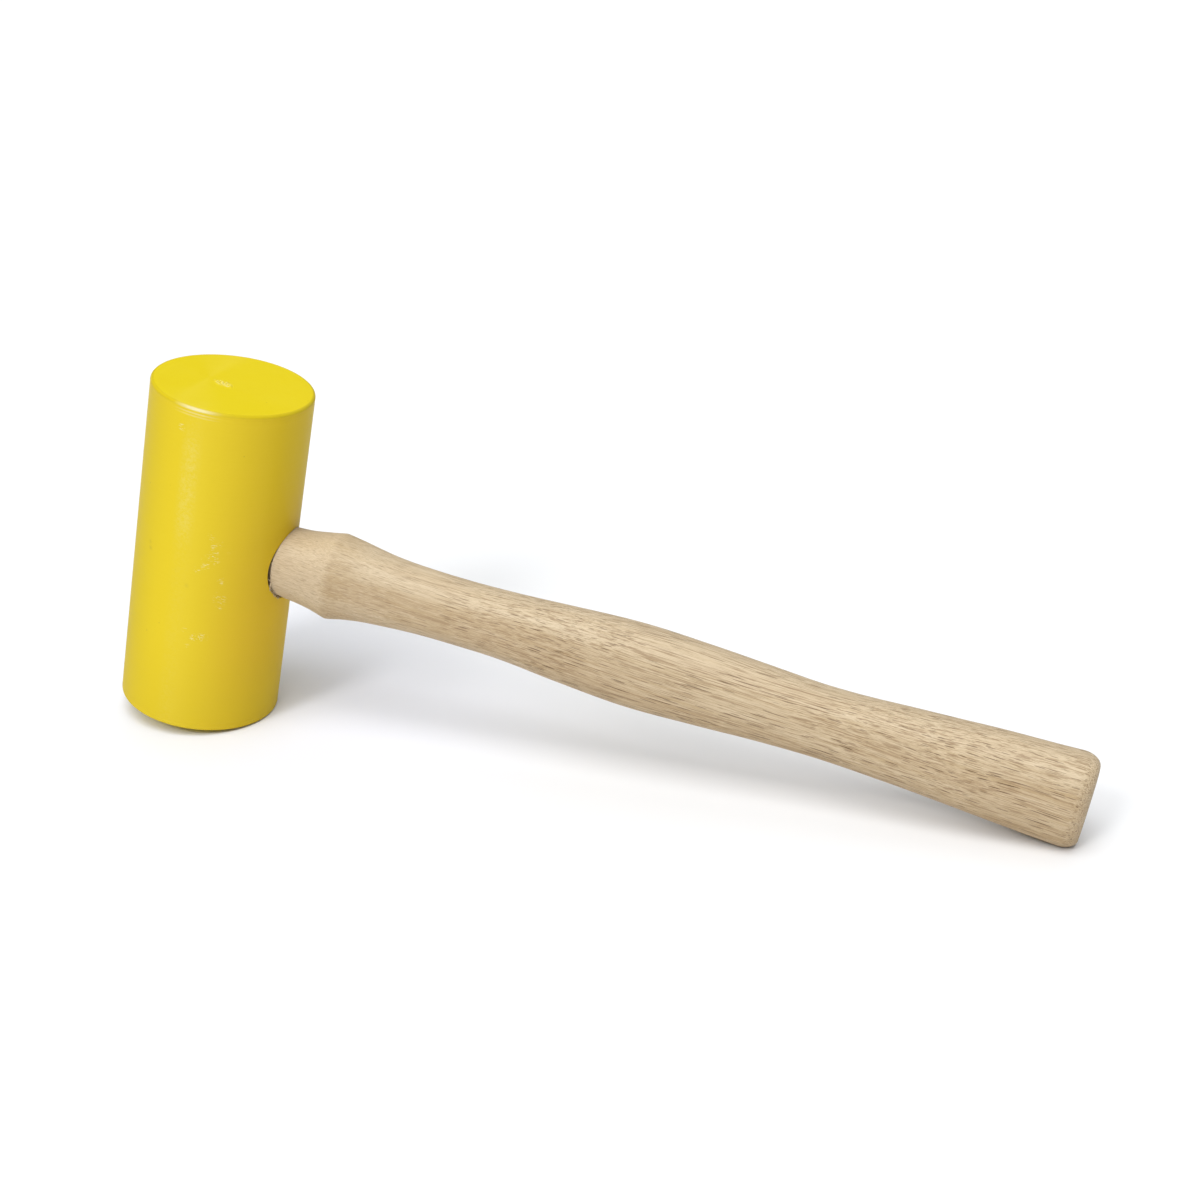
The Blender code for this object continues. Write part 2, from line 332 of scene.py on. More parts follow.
def turned_depth(height, from_face):
    """How far the lathe cut below the full radius: faint waves, and two grooves near each face."""
    wave = noise.noise(Vector((height / TURNING_WAVE_LENGTH, 0.0, 7.0)))
    depth = TURNING_WAVE * (1 + wave)
    for place in GROOVE_PLACES:
        depth += GROOVE_DEPTH * math.exp(-(((from_face - place) / GROOVE_HALF_WIDTH) ** 2))
    return depth


def face_radii():
    """Radii of the rings across a face, close together near its middle."""
    radii = []
    radius = FACE_START
    while radius < FACE_RADIUS - FACE_START:
        radii.append(radius)
        radius += FINE_FACE_PITCH if radius < FINE_FACE_RADIUS else FACE_PITCH
    return radii + [FACE_RADIUS]


def face_height(x, y, side):
    """How far a face stands off its plane: a torn nub near the middle, where it was cut off, and rings."""
    east, north = x - NUB_MIDDLE[0], y - NUB_MIDDLE[1]
    long = east * math.cos(NUB_TURN) + north * math.sin(NUB_TURN)
    short = north * math.cos(NUB_TURN) - east * math.sin(NUB_TURN)
    within = math.exp(-((long / NUB_HALF_LENGTH) ** 2 + (short / NUB_HALF_WIDTH) ** 2) ** 1.5)
    torn = noise.noise(Vector((x, y, side * 3 * MM)) / NUB_ROUGHNESS)
    ring = FACE_WAVE * noise.noise(Vector((math.hypot(x, y) / FACE_WAVE_LENGTH, 0.0, side * 5.0)))
    return within * NUB_HEIGHT * (0.35 + torn) - FACE_WAVE + ring


def head_shape():
    """Turn the head, roughen its faces and cut its eye."""
    shape = bmesh.new()
    rings = []
    for radius, height in head_profile():
        ring = []
        for k in range(HEAD_SEGMENTS):
            turn = math.tau * k / HEAD_SEGMENTS
            ring.append(shape.verts.new((radius * math.cos(turn), radius * math.sin(turn), height)))
        rings.append(ring)
    bridge(shape, rings)
    fan(shape, rings[0], (0, 0, HEAD_LENGTH / 2))
    fan(shape, rings[-1], (0, 0, -HEAD_LENGTH / 2))
    for vertex in shape.verts:
        radius = math.hypot(vertex.co.x, vertex.co.y)
        if abs(vertex.co.z) > HEAD_LENGTH / 2 - 0.01 * MM and radius < FACE_RADIUS - 0.5 * MM:
            side = math.copysign(1, vertex.co.z)
            vertex.co.z += side * face_height(vertex.co.x, vertex.co.y, side)
    return cut_away(shape, [eye_cutter()])


def eye_cutter():
    """An oval bar along X through the head."""
    shape = bmesh.new()
    bmesh.ops.create_cone(shape, cap_ends=True, segments=128, radius1=1, radius2=1, depth=4 * HEAD_RADIUS)
    upright = Matrix.Rotation(math.radians(90), 4, "Y")
    oval = Matrix.Diagonal((1.0, EYE_HALF_WIDTH, EYE_HALF_HEIGHT, 1.0))
    shape.transform(Matrix.Translation((0, 0, EYE_RISE)) @ oval @ upright)
    return shape


def loose_scuffs():
    """Scatter scuffs over the rest of the head's side, most of it out of the photo's sight."""
    chance = random.Random(11)
    scuffs = []
    for _ in range(LOOSE_SCUFFS):
        angle, height = chance.uniform(*LOOSE_ANGLES), chance.uniform(*LOOSE_HEIGHTS)
        scuffs.append((angle, height, chance.uniform(*LOOSE_STRENGTHS)))
    return scuffs


def mark(piece, name, places, reach):
    """Store on each point of the head how strongly it is marked by the places around it."""
    layer = piece.data.attributes.new(name, "FLOAT", "POINT")
    centres = []
    for angle, height, strength in places:
        turn = math.radians(angle)
        spot = Vector((HEAD_RADIUS * math.cos(turn), HEAD_RADIUS * math.sin(turn), height * MM))
        centres.append((TOOL @ spot, strength))
    for index, vertex in enumerate(piece.data.vertices):
        total = 0.0
        for spot, strength in centres:
            total += strength * math.exp(-(((vertex.co - spot).length / reach) ** 2))
        layer.data[index].value = min(1.0, total)


# ------------------------------------------------------------ handle

def handle_rings():
    """Read the CAD handle's rings outside the head: x, height above and below the axis, half thickness."""
    groups = {}
    for point in in_tool("handle"):
        if point.x > HEAD_RADIUS - 1 * MM:
            groups.setdefault(round(point.x / (0.1 * MM)), []).append(point)
    rings = []
    for key in sorted(groups):
        ring = groups[key]
        if len(ring) > 12:
            x = sum(p.x for p in ring) / len(ring)
            rings.append((x, max(p.z for p in ring), -min(p.z for p in ring), max(p.y for p in ring)))
    return rings


def smooth_value(rings, column, x):
    """Read one column of the rings at x, on a smooth curve through them all."""
    last = len(rings) - 1
    left = max(i for i in range(last) if i == 0 or rings[i][0] <= x)
    span = rings[left + 1][0] - rings[left][0]

    def slope(i):
        before, after = max(i - 1, 0), min(i + 1, last)
        return (rings[after][column] - rings[before][column]) / (rings[after][0] - rings[before][0])

    t = (x - rings[left][0]) / span
    return (
        (2 * t**3 - 3 * t**2 + 1) * rings[left][column]
        + (t**3 - 2 * t**2 + t) * span * slope(left)
        + (3 * t**2 - 2 * t**3) * rings[left + 1][column]
        + (t**3 - t**2) * span * slope(left + 1)
    )


def shoulder_place(rings):
    """Find where the neck meets the shoulder: the thickest ring of the first part of the handle."""
    first = [ring for ring in rings if ring[0] < 2.2 * HEAD_RADIUS]
    return max(first, key=lambda ring: ring[1] + ring[2])[0]


SHOULDER = shoulder_place(handle_rings())


def handle_sections():
    """List the fine sections from the tenon's end to the butt."""
    rings = handle_rings()
    body, end = rings[:-BUTT_RINGS], rings[-1]
    neck, last = body[0], body[-1]
    sections = []
    sections.append((-HEAD_RADIUS, *neck[1:], TENON_SQUARENESS))
    x = TENON_START - math.sqrt(HEAD_RADIUS**2 - neck[3] ** 2)
    while x < neck[0]:
        sections.append((x, *neck[1:], TENON_SQUARENESS))
        x += TENON_PITCH if x < FINE_FROM else FINE_PITCH
    steps = round((last[0] - neck[0]) / RING_PITCH)
    for step in range(steps + 1):
        x = neck[0] + (last[0] - neck[0]) * step / steps
        blend = min(1.0, (x - neck[0]) / SQUARED_WITHIN)
        squareness = TENON_SQUARENESS + (SQUARENESS - TENON_SQUARENESS) * blend
        sections.append((x, *[smooth_value(body, column, x) for column in (1, 2, 3)], squareness))
    depth = end[0] - last[0]
    for step in range(1, BUTT_ARC_STEPS + 1):
        turn = math.pi / 2 * step / BUTT_ARC_STEPS
        size = [full + (flat - full) * (1 - math.cos(turn)) for full, flat in zip(last[1:], end[1:])]
        sections.append((last[0] + depth * math.sin(turn), *size, SQUARENESS))
    return sections


def section_ring(shape, section, shrink=1.0):
    """Add one ring of the handle. shrink draws it in towards its middle."""
    x, above, below, half_thickness, squareness = section
    power = 2 / squareness
    middle = (above - below) / 2
    ring = []
    for k in range(SECTION_POINTS):
        turn = math.tau * k / SECTION_POINTS
        y = half_thickness * math.copysign(abs(math.cos(turn)) ** power, math.cos(turn))
        reach = above if math.sin(turn) > 0 else below
        z = reach * math.copysign(abs(math.sin(turn)) ** power, math.sin(turn))
        scale = shrink * (1 + (swell(x, turn) - gap_depth(x, y, turn)) / half_thickness)
        ring.append(shape.verts.new((x, y * scale, middle + (z - middle) * scale)))
    return ring


def share(start, end, value):
    """How far value has come from start to end, from 0 to 1."""
    return min(1.0, max(0.0, (value - start) / (end - start)))


def swell(x, turn):
    """How far the sanded surface stands off the smooth section: a ridge, planed corners and waves."""
    ridge = RIDGE_HEIGHT * math.exp(-abs(x - SHOULDER) / RIDGE_REACH)
    corner = max(0.0, math.cos(turn - math.radians(PLANED_AT)))
    along = share(SHOULDER, SHOULDER - PLANED_REACH, x) * share(GAP_FROM, GAP_FULL, x)
    around = Vector((0.0, math.cos(turn), math.sin(turn))) * SANDING_WAVES_AROUND
    wave = noise.noise(Vector((x / SANDING_WAVE_LENGTH, around.y, around.z))) - 0.5
    wave *= SANDING_WAVE * share(HEAD_RADIUS, HEAD_RADIUS + WAVES_REACH, x)
    return ridge - PLANED_DEPTH * corner**4 * along + wave


def gap_depth(x, y, turn):
    """How far the tenon is cut back inside the eye, up to a ragged edge just outside it."""
    corner = max(0.0, math.cos(turn - math.radians(PLANED_AT)))
    torn = noise.noise(Vector((RAGS_AROUND * math.cos(turn), RAGS_AROUND * math.sin(turn), 3.0)))
    edge = math.sqrt(HEAD_RADIUS**2 - y**2) + GAP_SHOWN * corner**3 + RAGGED * torn * corner
    reach = GAP_DEPTH * min(1.0, GAP_SPREAD * corner**2)
    return reach * share(edge, edge - GAP_EDGE, x) * share(GAP_FROM, GAP_FULL, x)


def handle_shape():
    """Loft the handle, round its butt and cut its kerf and pockets."""
    shape = bmesh.new()
    sections = handle_sections()
    tenon_end = [section_ring(shape, sections[0], shrink) for shrink in END_SHRINKS]
    rings = tenon_end + [section_ring(shape, section) for section in sections]
    rings += [section_ring(shape, sections[-1], shrink) for shrink in reversed(END_SHRINKS)]
    proud = -min(p.x for p in in_tool("handle"))
    for ring in rings[: len(END_SHRINKS) + 1]:
        for vertex in ring:
            vertex.co.x = -math.sqrt(proud**2 - vertex.co.y**2)
    bridge(shape, rings)
    middle = (sections[0][1] - sections[0][2]) / 2
    fan(shape, rings[0], (-proud, 0, middle))
    fan(shape, rings[-1], (sections[-1][0], 0, (sections[-1][1] - sections[-1][2]) / 2))
    pockets = [wedge_room(name, "Z") for name in ("steel_wedge_upper", "steel_wedge_lower")]
    return cut_away(shape, [kerf(), *pockets])


def curl(shape, start, heading, side, length, bend, width, thickness):
    """Add a thin shaving that leaves start along heading and bends towards side."""
    spot, along, towards = Vector(start), Vector(heading).normalized(), Vector(side).normalized()
    flat = along.cross(towards).normalized()
    rings = []
    for step in range(CURL_STEPS + 1):
        taper = 1.0 - CURL_TAPER * step / CURL_STEPS
        out = along.cross(flat).normalized()
        corners = [(-1, -1), (1, -1), (1, 1), (-1, 1)]
        ring = [spot + flat * (a * width * taper / 2) + out * (b * thickness / 2) for a, b in corners]
        rings.append([shape.verts.new(corner) for corner in ring])
        along = (Matrix.Rotation(bend / CURL_STEPS, 3, flat) @ along).normalized()
        spot = spot + along * (length / CURL_STEPS)
    bridge(shape, rings)
    shape.faces.new(rings[0])
    shape.faces.new(rings[-1])


def shavings_shape():
    """Two shavings left in the gap between the planed neck and the eye, and torn fibres along its edge."""
    shape = bmesh.new()
    for start, heading, side, length, bend, width in SHAVINGS:
        scaled = [MM * number for number in start]
        curl(shape, scaled, heading, side, length * MM, bend, width * MM, SHAVING_THICKNESS)
    chance = random.Random(5)
    for _ in range(LOOSE_FIBRES):
        add_fibre(shape, chance)
    return shape


def add_fibre(shape, chance):
    """Add one short torn fibre somewhere along the neck's edge, pointing into the gap."""
    turn = math.radians(chance.uniform(*FIBRE_TURNS))
    y, z = FIBRE_OVAL[0] * math.cos(turn), FIBRE_OVAL[1] * math.sin(turn)
    x = math.sqrt(HEAD_RADIUS**2 - y**2) + chance.uniform(0.2, 1.2) * MM
    inward = -chance.uniform(0.4, 1.0)
    aside = 0.5 * math.cos(turn) + chance.uniform(-0.4, 0.4)
    heading = (inward, aside, math.sin(turn))
    length = chance.uniform(0.7, 1.7) * MM
    curl(shape, (x, y, z), heading, FIBRE_BENDS_TO, length, FIBRE_BEND, FIBRE_WIDTH, FIBRE_THICKNESS)


def wedge_room(name, across):
    """The pocket around a CAD wedge, open past its outer end. The wedge tapers on the axis named across."""
    points = in_tool(name)
    axis = "XYZ".index(across)
    other = 3 - axis
    outer, inner = min(p.x for p in points), max(p.x for p in points)
    split = (outer + inner) / 2
    near = [p[axis] for p in points if p.x < split]
    far = [p[axis] for p in points if p.x > split]
    wide = [p[other] for p in points]
    near_thick, far_thick = max(near) - min(near), max(far) - min(far)
    per_metre = (near_thick - far_thick) / (inner - outer)
    thick = (near_thick + per_metre * OVERCUT + 2 * GAP, far_thick + 2 * GAP)
    width = max(wide) - min(wide) + 2 * GAP
    shape = bmesh.new()
    bmesh.ops.create_cube(shape, size=1.0)
    centre = (min(near) + max(near)) / 2
    for corner in shape.verts:
        thickness = thick[0] if corner.co.x < 0 else thick[1]
        corner.co[axis] = centre + corner.co[axis] * thickness
        corner.co[other] = (min(wide) + max(wide)) / 2 + corner.co[other] * width
        corner.co.x = outer - OVERCUT if corner.co.x < 0 else inner + GAP
    return shape


def kerf():
    """The sawn kerf: the wooden wedge's room, carried through the tenon's top and bottom and deeper in."""
    shape = wedge_room("wooden_wedge", "Y")
    for corner in shape.verts:
        corner.co.z *= 3
        if corner.co.x > 0:
            corner.co.x += KERF_DEEPER
    return shape


# ------------------------------------------------------------ materials, measured in millimetres

HALF_HEAD = HEAD_LENGTH / 2 / MM
FLAT = FACE_RADIUS / MM
NECK_END = SHOULDER / MM


class Nodes:
    """Short calls for building one material's nodes."""

    def __init__(self, name):
        self.material = bpy.data.materials.new(name)
        self.material.use_nodes = True
        self.tree = self.material.node_tree
        self.shader = self.tree.nodes["Principled BSDF"]

    def add(self, kind, **settings):
        node = self.tree.nodes.new(kind)
        for key, value in settings.items():
            setattr(node, key, value)
        return node

    def link(self, source, target):
        self.tree.links.new(source, target)
        return target

    def feed(self, socket, value):
        """Link a socket, or set it to a number."""
        if isinstance(value, bpy.types.NodeSocket):
            self.tree.links.new(value, socket)
        else:
            socket.default_value = value

    def math(self, operation, a, b=0.0, c=0.0):
        node = self.add("ShaderNodeMath", operation=operation)
        for socket, value in zip(node.inputs, (a, b, c)):
            self.feed(socket, value)
        return node.outputs[0]

    def product(self, first, *others):
        for other in others:
            first = self.math("MULTIPLY", first, other)
        return first

    def length(self, a, b):
        """The length of a vector with two parts."""
        return self.math("POWER", self.math("ADD", self.product(a, a), self.product(b, b)), 0.5)

    def attribute(self, name):
        return self.add("ShaderNodeAttribute", attribute_name=name).outputs["Fac"]

    def tool_coordinates(self):
        """The point in the tool's axes, in millimetres."""
        place = self.add("ShaderNodeTexCoord").outputs["Object"]
        turn = self.add("ShaderNodeMapping", vector_type="POINT")
        turn.inputs["Rotation"].default_value = TOOL_INVERSE.to_euler()
        turn.inputs["Location"].default_value = TOOL_INVERSE.translation
        self.link(place, turn.inputs["Vector"])
        scale = self.add("ShaderNodeVectorMath", operation="SCALE")
        self.link(turn.outputs[0], scale.inputs[0])
        scale.inputs["Scale"].default_value = 1 / MM
        return scale.outputs[0]

    def stretched(self, place, factors):
        """The place multiplied by a factor on each axis."""
        node = self.add("ShaderNodeVectorMath", operation="MULTIPLY")
        self.link(place, node.inputs[0])
        node.inputs[1].default_value = factors
        return node.outputs[0]

    def noise(self, place, scale=1.0, detail=3.0, roughness=0.5, distortion=0.0):
        node = self.add("ShaderNodeTexNoise")
        self.link(place, node.inputs["Vector"])
        node.inputs["Scale"].default_value = scale
        node.inputs["Detail"].default_value = detail
        node.inputs["Roughness"].default_value = roughness
        node.inputs["Distortion"].default_value = distortion
        return node.outputs["Fac"]

    def cells(self, place, scale=1.0):
        """Voronoi distance and random colour."""
        node = self.add("ShaderNodeTexVoronoi")
        self.link(place, node.inputs["Vector"])
        node.inputs["Scale"].default_value = scale
        return node.outputs["Distance"], node.outputs["Color"]

    def ramp(self, value, low, high, out_low=0.0, out_high=1.0):
        """Smooth step from low to high."""
        node = self.add("ShaderNodeMapRange", interpolation_type="SMOOTHSTEP")
        self.feed(node.inputs["Value"], value)
        numbers = {"From Min": low, "From Max": high, "To Min": out_low, "To Max": out_high}
        for key, number in numbers.items():
            node.inputs[key].default_value = number
        return node.outputs[0]

    def near(self, value, centre, inner, outer, inside=1.0, outside=0.0):
        """How near value is to centre: inside within inner of it, falling smoothly to outside at outer."""
        apart = self.math("ABSOLUTE", self.math("SUBTRACT", value, centre))
        return self.ramp(apart, inner, outer, inside, outside)

    def ramp_between(self, value, low, high):
        """Smooth step between two changing limits."""
        node = self.add("ShaderNodeMapRange", interpolation_type="SMOOTHSTEP")
        for key, source in (("Value", value), ("From Min", low), ("From Max", high)):
            self.feed(node.inputs[key], source)
        return node.outputs[0]

    def mix(self, factor, a, b, blend="MIX"):
        node = self.add("ShaderNodeMix", data_type="RGBA", blend_type=blend)
        self.feed(node.inputs["Factor"], factor)
        for socket, value in ((node.inputs[6], a), (node.inputs[7], b)):
            self.feed(socket, (*value, 1.0) if isinstance(value, tuple) else value)
        return node.outputs[2]

    def split(self, place):
        node = self.add("ShaderNodeSeparateXYZ")
        self.link(place, node.inputs[0])
        return node.outputs

    def bump(self, height, distance, strength=1.0, normal=None):
        node = self.add("ShaderNodeBump")
        node.inputs["Strength"].default_value = strength
        node.inputs["Distance"].default_value = distance
        self.link(height, node.inputs["Height"])
        if normal is not None:
            self.link(normal, node.inputs["Normal"])
        return node.outputs["Normal"]

    def combine(self, x, y, z):
        node = self.add("ShaderNodeCombineXYZ")
        for socket, value in zip(node.inputs, (x, y, z)):
            self.feed(socket, value)
        return node.outputs[0]

    def tinge(self, colour, mask, amount, other):
        """Mix an amount of the other colour in where the mask is on."""
        return self.mix(self.product(mask, amount), colour, other)

    def finish(self, colour, roughness, normal, **constants):
        self.feed(self.shader.inputs["Base Color"], colour)
        self.feed(self.shader.inputs["Roughness"], roughness)
        self.feed(self.shader.inputs["Normal"], normal)
        for key, value in constants.items():
            self.shader.inputs[key.replace("_", " ")].default_value = value
        return self.material


def painted_rim_highlight(n, x, y, z, radius):
    """A painted highlight on the upper rim: a bright arc on the rim, and two thin streaks on the grooves
    below it.
    """
    from_face = n.math("SUBTRACT", HALF_HEAD, z)
    arc = n.product(n.near(from_face, 0.6, 0.25, 0.7), n.ramp(radius, FLAT - 0.1, FLAT + 0.5))
    upper = n.near(from_face, GROOVE_PLACES[0] / MM, 0.15, 0.45, 0.45)
    lower = n.near(from_face, GROOVE_PLACES[1] / MM, 0.15, 0.45, 0.30)
    brightest = n.math("MAXIMUM", arc, n.math("MAXIMUM", upper, lower))
    return n.product(brightest, n.near(x, -0.5, 1.0, 11.0), n.ramp(y, -20, -28))


def from_nub(n, x, y):
    """How far out a point of a face is, as a share of the torn nub's oval."""
    east = n.math("SUBTRACT", x, NUB_MIDDLE[0] / MM)
    north = n.math("SUBTRACT", y, NUB_MIDDLE[1] / MM)
    cosine, sine = math.cos(NUB_TURN), math.sin(NUB_TURN)
    long = n.math("ADD", n.product(east, cosine), n.product(north, sine))
    short = n.math("SUBTRACT", n.product(north, cosine), n.product(east, sine))
    long = n.math("DIVIDE", long, NUB_HALF_LENGTH / MM)
    short = n.math("DIVIDE", short, NUB_HALF_WIDTH / MM)
    return n.length(long, short)


def plastic_yellow(n, x, z, radius):
    """The head's yellow with light and shade painted in: the left, right and lower parts of its side painted
    darker as shade, its upper face painted lighter as lit from above, and that face's rim painted darker.
    """
    # Painted shade: the right side darker and more orange, less so towards the top.
    right_shade = n.product(n.ramp(x, 0, 30), n.ramp(z, -10, 55, 1.0, 0.45))
    colour = n.mix(right_shade, PLASTIC_SIDE, PLASTIC_RIGHT_SHADE)
    # Painted shade: the left side darker towards its edge.
    colour = n.mix(n.ramp(x, -5, -29), colour, PLASTIC_LEFT_SHADE)
    # Painted shade: darker towards the bottom.
    colour = n.tinge(colour, n.ramp(z, -25, -HALF_HEAD), 0.55, PLASTIC_LOW_SHADE)
    # Painted light: the upper face a lighter, less orange yellow.
    colour = n.mix(n.ramp(z, HALF_HEAD - 1.0, HALF_HEAD - 0.2), colour, PLASTIC_FACE_LIT)
    # Painted shade: the upper face's rim darker.
    rim = n.product(n.ramp(radius, FLAT - 0.2, FLAT + 0.5), n.ramp(z, HALF_HEAD - 1.4, HALF_HEAD - 0.9))
    return n.tinge(colour, rim, 0.65, PLASTIC_RIM_SHADE)


def painted_shine(n, place, x, y, z):
    """A painted highlight: a patchy shine down the camera's side of the head, strongest on its upper half."""
    patches = n.noise(n.stretched(place, (0.9, 0.9, 1.1)), 1.0, 5.0, 0.75)
    across = n.product(n.near(x, -1.0, 0.5, 5.5), n.ramp(y, -20, -28))
    return n.product(across, n.ramp(patches, 0.30, 0.72), n.near(z, 36, 12, 30, 1.0, 0.25))


def pale_marks(n, place, x, y, z):
    """Short dashes where the head is scuffed, and shreds on the torn nub of each face."""
    dashes = n.noise(n.stretched(place, (0.55, 0.55, 1.7)), 1.0, 4.0, 0.62, 0.8)
    scuff = n.product(n.ramp(dashes, 0.53, 0.63), n.ramp(n.attribute("wear"), 0.15, 0.90))
    shreds = n.noise(n.stretched(place, (0.65, 1.1, 1.0)), 1.0, 4.0, 0.62, 1.2)
    on_nub = n.ramp(from_nub(n, x, y), 0.7, 1.3, 1.0, 0.0)
    on_face = n.ramp(n.math("ABSOLUTE", z), HALF_HEAD - 1.0, HALF_HEAD - 0.7)
    return n.math("MAXIMUM", scuff, n.product(n.ramp(shreds, 0.47, 0.58), on_nub, on_face, 0.8))


def grime(n, place):
    """A few dark flecks at random, and the dirty spots."""
    distance, pick = n.cells(place, 0.16)
    fleck = n.product(n.ramp(distance, 0.03, 0.06, 1.0, 0.0), n.ramp(n.split(pick)[0], 0.55, 0.6))
    return n.math("MAXIMUM", fleck, n.attribute("dirt"))


def plastic():
    """Turned yellow polyethylene: satin, with fine lathe lines and pale scuffs, and painted light and shade:
    a broken shine, a bright arc on the upper rim, and lighter and darker parts of its yellow.
    """
    n = Nodes("head_plastic")
    place = n.tool_coordinates()
    x, y, z = n.split(place)
    radius = n.length(x, y)
    mottle = n.noise(place, 0.9, 4.0, 0.65)
    lathe = n.noise(n.stretched(place, (0.03, 0.03, 2.6)), 1.0, 4.0, 0.7)
    pale = pale_marks(n, place, x, y, z)
    colour = plastic_yellow(n, x, z, radius)
    colour = n.tinge(colour, n.ramp(mottle, 0.3, 0.75), 0.12, PLASTIC_DEEP)
    colour = n.tinge(colour, n.ramp(lathe, 0.45, 0.8), 0.25, PLASTIC_DEEP)
    colour = n.tinge(colour, grime(n, place), 0.40, SOILED)
    # Painted highlight: a patchy shine down the side.
    colour = n.tinge(colour, painted_shine(n, place, x, y, z), 0.20, SHINY)
    colour = n.tinge(colour, pale, 0.62, SCUFFED)
    # Painted highlight: the bright arc on the upper rim.
    colour = n.tinge(colour, painted_rim_highlight(n, x, y, z, radius), 0.52, RIM_HIGHLIGHT)
    normal = n.bump(lathe, 0.03 * MM, 0.5)
    normal = n.bump(mottle, 0.03 * MM, 0.4, normal)
    normal = n.bump(pale, 0.06 * MM, 0.7, normal)
    roughness = n.math("MULTIPLY_ADD", pale, 0.15, n.ramp(lathe, 0.3, 0.7, 0.50, 0.58))
    tangent = n.add("ShaderNodeTangent", direction_type="RADIAL", axis="Z")
    n.link(tangent.outputs[0], n.shader.inputs["Tangent"])
    constants = {"Specular_IOR_Level": 0.14, "Anisotropic": 1.0, "Anisotropic_Rotation": 0.25}
    constants.update({"Coat_Weight": 0.10, "Coat_Roughness": 0.24, "Coat_IOR": 1.45})
    return n.finish(colour, roughness, normal, **constants)


def grain_coordinates(n, place):
    """The point along and across the grain, which runs out of the handle a little and wanders."""
    x, y, z = n.split(place)
    wander = n.noise(n.stretched(place, (1 / 70, 1 / 25, 1 / 25)), 1.0, 2.0)
    side = n.math("SUBTRACT", y, n.product(x, GRAIN_RUNOUT[0]))
    up = n.math("SUBTRACT", z, n.product(x, GRAIN_RUNOUT[1]))
    drift = n.product(wander, GRAIN_WANDER)
    return n.combine(x, n.math("ADD", side, drift), n.math("ADD", up, drift))


def pores(n, grain, length, width, size, share_open):
    """Dashes where the cut opens vessels: about length by width apart, in a share of the cells."""
    distance, pick = n.cells(n.stretched(grain, (1 / length, 1 / width, 1 / width)))
    chance, sizes, _ = n.split(pick)
    radius = n.ramp(sizes, 0.0, 1.0, 0.6 * size, 1.25 * size)
    filled = n.ramp_between(distance, n.product(radius, 0.85), radius)
    return n.product(n.math("SUBTRACT", 1.0, filled), n.ramp(chance, 1 - share_open, 1.02 - share_open))


def wood_tone(n, x, z, broad, band):
    """The wood's colour without its fine lines: broad figure, what each part of the handle tends to, painted
    shade along its lower side and painted light along its upper side.
    """
    neck = n.ramp(x, NECK_END - 3, NECK_END + 2, 1.0, 0.0)
    behind = n.math("SUBTRACT", n.ramp(x, NECK_END + 2, NECK_END + 16, 1.0, 0.0), neck)
    colour = n.mix(n.ramp(broad, 0.35, 0.65), WOOD_PALE, WOOD_TAN)
    colour = n.tinge(colour, n.ramp(band, 0.46, 0.72), 0.48, WOOD_GOLD)
    # Painted shade: the lower side darker.
    colour = n.tinge(colour, n.ramp(z, -4, -17), 0.50, WOOD_GOLD)
    # Painted light: the upper side lighter.
    colour = n.tinge(colour, n.ramp(z, 5, 14), 0.40, WOOD_LIGHT)
    colour = n.tinge(colour, behind, 0.35, WOOD_GOLD)
    return n.tinge(colour, neck, 0.75, WOOD_NECK)


def wood():
    """Pale straight-grained wood with open pores, which show more in the grip than by the head."""
    n = Nodes("handle_wood")
    place = n.tool_coordinates()
    x, _, z = n.split(place)
    grain = grain_coordinates(n, place)
    broad, band, line, fibre, grit = [
        n.noise(n.stretched(grain, (1 / length, 1 / width, 1 / width)), 1.0, detail, roughness)
        for length, width, detail, roughness in GRAIN_SIZES
    ]
    in_grip = n.ramp(x, NECK_END - 8, NECK_END + 100, 0.32, 1.0)
    crowded = n.ramp(n.math("MULTIPLY_ADD", z, -0.02, band), 0.30, 0.62, 0.72, 1.0)
    long_pores = pores(n, grain, 30, 0.80, 0.19, 0.85)
    short_pores = pores(n, grain, 16, 0.62, 0.20, 0.85)
    faint = pores(n, grain, 9, 0.50, 0.22, 0.85)
    dark = n.product(n.math("MAXIMUM", long_pores, short_pores), in_grip, crowded)
    colour = wood_tone(n, x, z, broad, band)
    colour = n.tinge(colour, n.product(n.ramp(line, 0.53, 0.61), in_grip), 0.60, WOOD_BROWN)
    colour = n.tinge(colour, n.product(n.ramp(fibre, 0.50, 0.64), in_grip), 0.52, WOOD_BROWN)
    colour = n.tinge(colour, n.ramp(fibre, 0.46, 0.30), 0.50, WOOD_LIGHT)
    colour = n.tinge(colour, n.ramp(grit, 0.5, 0.75), 0.24, WOOD_BROWN)
    colour = n.tinge(colour, n.ramp(grit, 0.45, 0.22), 0.30, WOOD_LIGHT)
    colour = n.tinge(colour, faint, 0.36, WOOD_BROWN)
    colour = n.tinge(colour, dark, 0.95, WOOD_PORE)
    depth = n.math("MAXIMUM", dark, n.product(faint, 0.5))
    normal = n.bump(n.math("SUBTRACT", n.product(fibre, 0.6), depth), 0.12 * MM, 0.6)
    normal = n.bump(grit, 0.06 * MM, 0.5, normal)
    roughness = n.ramp(band, 0.2, 0.8, 0.48, 0.62)
    return n.finish(colour, roughness, normal, Specular_IOR_Level=0.40)


